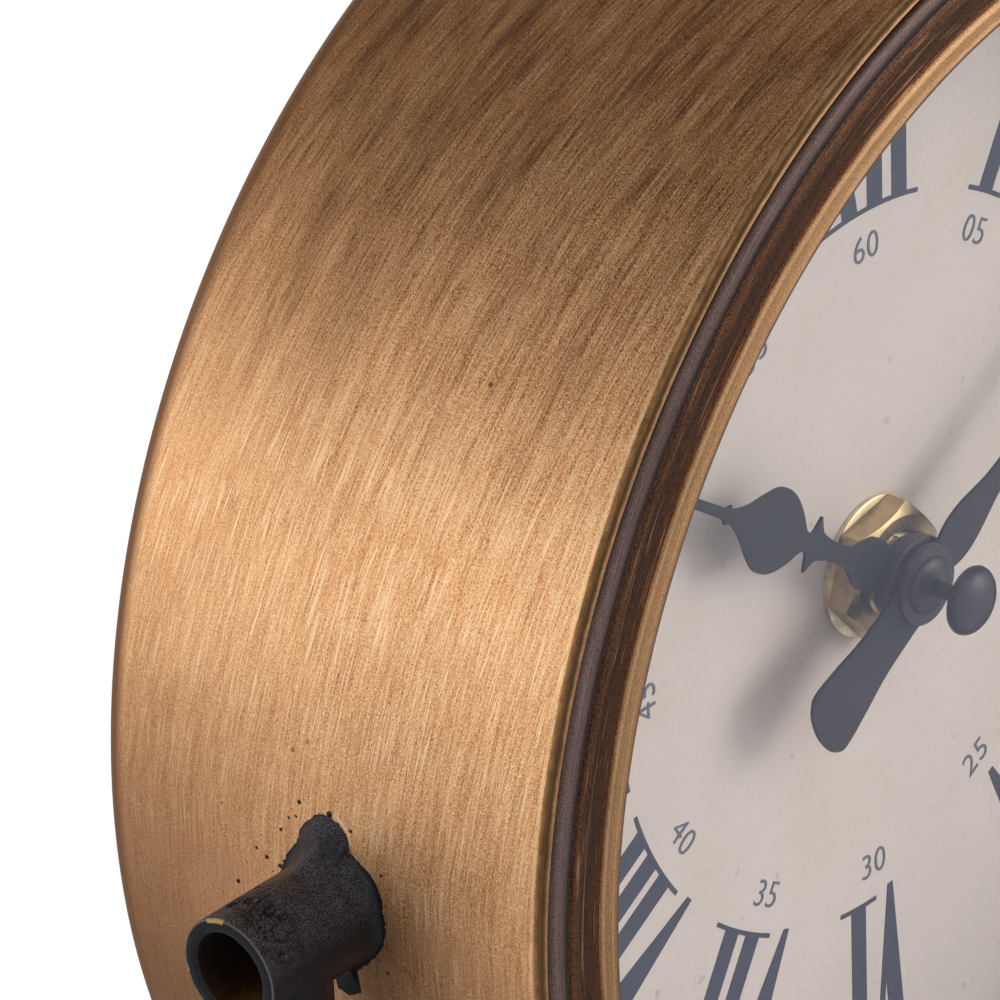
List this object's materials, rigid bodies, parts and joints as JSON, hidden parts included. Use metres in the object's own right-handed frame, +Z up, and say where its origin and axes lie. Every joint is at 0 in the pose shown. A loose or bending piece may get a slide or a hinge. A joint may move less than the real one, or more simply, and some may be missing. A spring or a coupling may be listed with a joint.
{
  "type": "table clock",
  "caption": "Round quartz table clock in a bronze drum case, held by side tubes on a flat-based steel stand, with geared hands behind glass.",
  "frame": {"origin": "on the table, under the middle of the stand", "axes": "+X to the viewer's right, +Y to the back, +Z up; the dial faces -Y"},
  "size_m": [0.185, 0.076, 0.169],
  "materials": {
    "antique_bronze": "brushed antique bronze plating, worn to a lighter gold on the edges",
    "black_paint": "satin black paint with a fine grain",
    "clear_glass": "clear, polished",
    "dial_paint": "matte pale grey with faint warm clouds",
    "dial_ink": "matte slate-blue ink",
    "bright_brass": "bright turned brass",
    "hand_paint": "matte black",
    "cap_black": "satin black",
    "sleeve_black": "matte dark brown-black",
    "movement_black": "fine-grained moulding",
    "gear_white": "moulded acetal",
    "steel": "plain drawn steel",
    "zinc": "bright zinc plating",
    "nickel": "nickel plating",
    "battery_sleeve": "plain grey sleeve",
    "board_green": "solder resist",
    "coil_copper": "enamelled copper wire",
    "black_rubber": "matte"
  },
  "bodies": {
    "case_and_stand": {"drum_shell": "antique_bronze", "front_bezel": "antique_bronze", "side_tube_left": "black_paint", "side_tube_right": "black_paint", "tube_weld_left": "black_paint", "tube_weld_right": "black_paint", "leg_left": "black_paint", "leg_right": "black_paint", "base_plate": "black_paint", "leg_inserts": "steel", "base_screws": "zinc", "rubber_feet": "black_rubber", "glass_gasket": "black_rubber", "rubber_washer": "black_rubber", "glass_lens": "clear_glass", "spacer_sleeve": "sleeve_black", "dial_plate": "dial_paint", "dial_print": "dial_ink", "dial_posts": "steel", "rear_ring": "steel", "rear_cover": "black_paint", "cover_screws": "zinc", "brass_washer": "bright_brass", "brass_nut": "bright_brass", "threaded_bushing": "bright_brass", "movement_case": "movement_black", "movement_cover": "movement_black", "battery_cell": "battery_sleeve", "battery_contact_negative": "nickel", "battery_contact_positive": "nickel", "circuit_board": "board_green", "quartz_crystal": "nickel", "coil_core": "steel", "coil_winding": "coil_copper", "stator_plate": "steel", "train_pins": "steel"},
    "hour_body": {"hour_wheel": "gear_white", "hour_hand": "hand_paint"},
    "minute_body": {"cannon_pinion": "gear_white", "minute_hand": "hand_paint"},
    "motion_body": {"motion_wheel": "gear_white"},
    "setting_body": {"setting_knob": "movement_black"},
    "seconds_body": {"seconds_wheel": "gear_white", "arbor_cap": "cap_black"},
    "third_body": {"third_wheel": "gear_white"},
    "centre_body": {"centre_wheel": "gear_white"},
    "fifth_body": {"fifth_wheel": "gear_white"},
    "rotor_body": {"rotor_pinion": "gear_white", "rotor_magnet": "steel"}
  },
  "joints": [
    {"name": "minute_spin", "type": "hinge", "parent": "case_and_stand", "child": "minute_body", "pos_m": [0, 0, 0.094], "axis": [0, 1, 0], "continuous": true},
    {"name": "hour_spin", "type": "hinge", "parent": "case_and_stand", "child": "hour_body", "pos_m": [0, 0, 0.094], "axis": [0, 1, 0], "continuous": true},
    {"name": "motion_spin", "type": "hinge", "parent": "case_and_stand", "child": "motion_body", "pos_m": [-0.00424, 0, 0.09824], "axis": [0, 1, 0], "continuous": true},
    {"name": "setting_spin", "type": "hinge", "parent": "case_and_stand", "child": "setting_body", "pos_m": [-0.00849, 0, 0.10249], "axis": [0, 1, 0], "continuous": true},
    {"name": "seconds_spin", "type": "hinge", "parent": "case_and_stand", "child": "seconds_body", "pos_m": [0, 0, 0.094], "axis": [0, 1, 0], "continuous": true},
    {"name": "third_spin", "type": "hinge", "parent": "case_and_stand", "child": "third_body", "pos_m": [0.0045, 0, 0.10179], "axis": [0, 1, 0], "continuous": true},
    {"name": "centre_spin", "type": "hinge", "parent": "case_and_stand", "child": "centre_body", "pos_m": [0, 0, 0.094], "axis": [0, 1, 0], "continuous": true},
    {"name": "fifth_spin", "type": "hinge", "parent": "case_and_stand", "child": "fifth_body", "pos_m": [0.00637, 0, 0.09033], "axis": [0, 1, 0], "continuous": true},
    {"name": "rotor_spin", "type": "hinge", "parent": "case_and_stand", "child": "rotor_body", "pos_m": [0.01168, 0, 0.09126], "axis": [0, 1, 0], "continuous": true}
  ],
  "couplings": [
    {"joint": "hour_spin", "follows": "minute_spin", "ratio": 0.083333},
    {"joint": "motion_spin", "follows": "minute_spin", "ratio": -0.33333},
    {"joint": "setting_spin", "follows": "minute_spin", "ratio": 1},
    {"joint": "third_spin", "follows": "seconds_spin", "ratio": -0.13333},
    {"joint": "centre_spin", "follows": "seconds_spin", "ratio": 0.016667},
    {"joint": "fifth_spin", "follows": "seconds_spin", "ratio": -6},
    {"joint": "rotor_spin", "follows": "seconds_spin", "ratio": 30}
  ]
}
